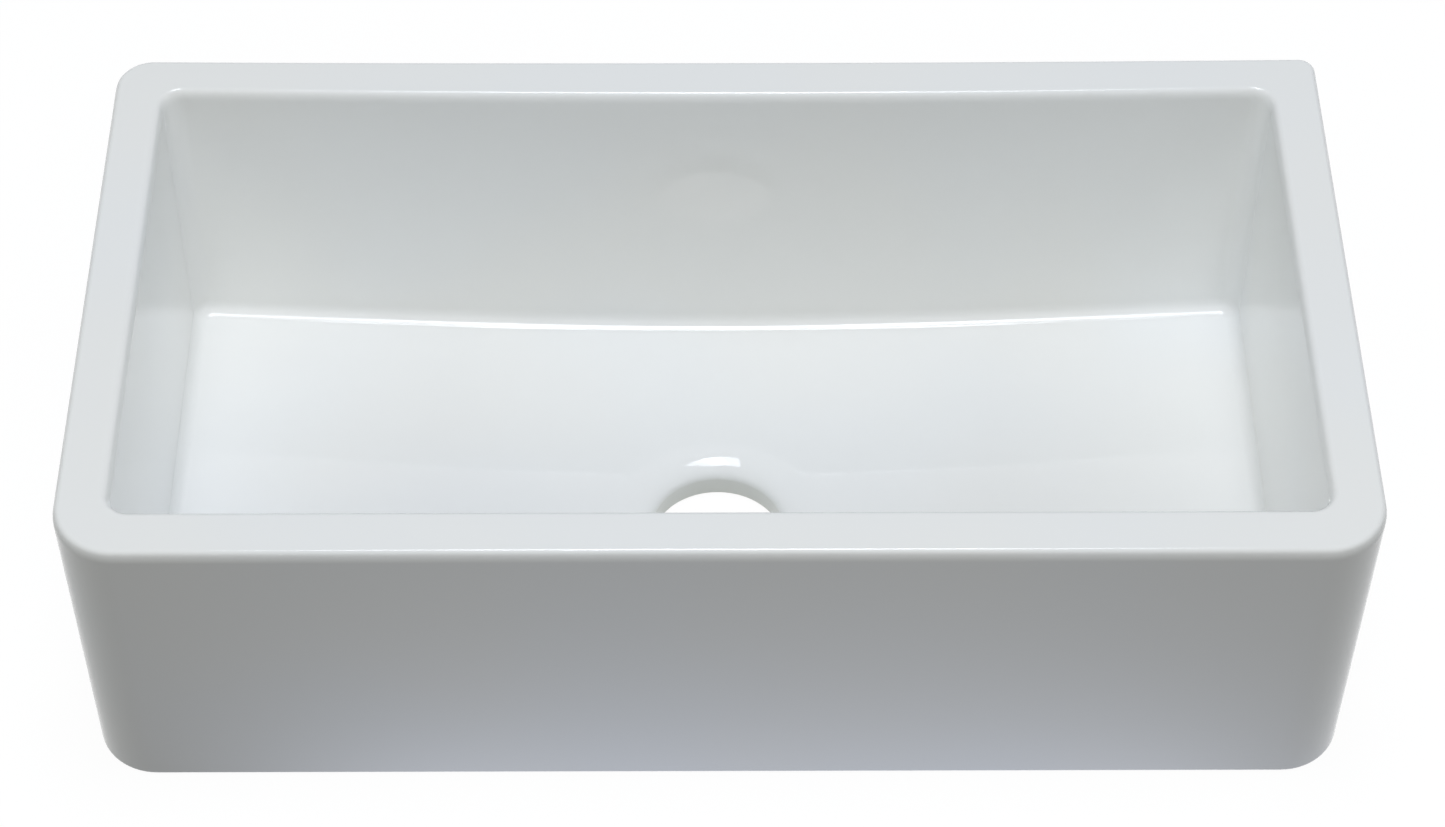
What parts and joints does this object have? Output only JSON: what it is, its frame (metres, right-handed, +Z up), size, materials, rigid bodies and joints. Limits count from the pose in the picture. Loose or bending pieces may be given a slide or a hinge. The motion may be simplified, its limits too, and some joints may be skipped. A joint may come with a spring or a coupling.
{
  "type": "farmhouse apron front sink",
  "caption": "White glazed fireclay apron front kitchen sink with a broad flat rim, a deep single bowl with coved walls, and a floor that falls to an open flared drain hole.",
  "frame": {"origin": "middle of the flat underside, at floor level", "axes": "+X along the apron to the right of someone standing at it, +Y from the apron to the wall, +Z up out of the bowl"},
  "size_m": [0.838, 0.438, 0.241],
  "materials": {
    "fireclay_glaze": "smooth glossy white glaze, fired on; the underside is bare matt fireclay"
  },
  "bodies": {
    "root": {"fireclay_sink_body": "fireclay_glaze"}
  },
  "joints": []
}
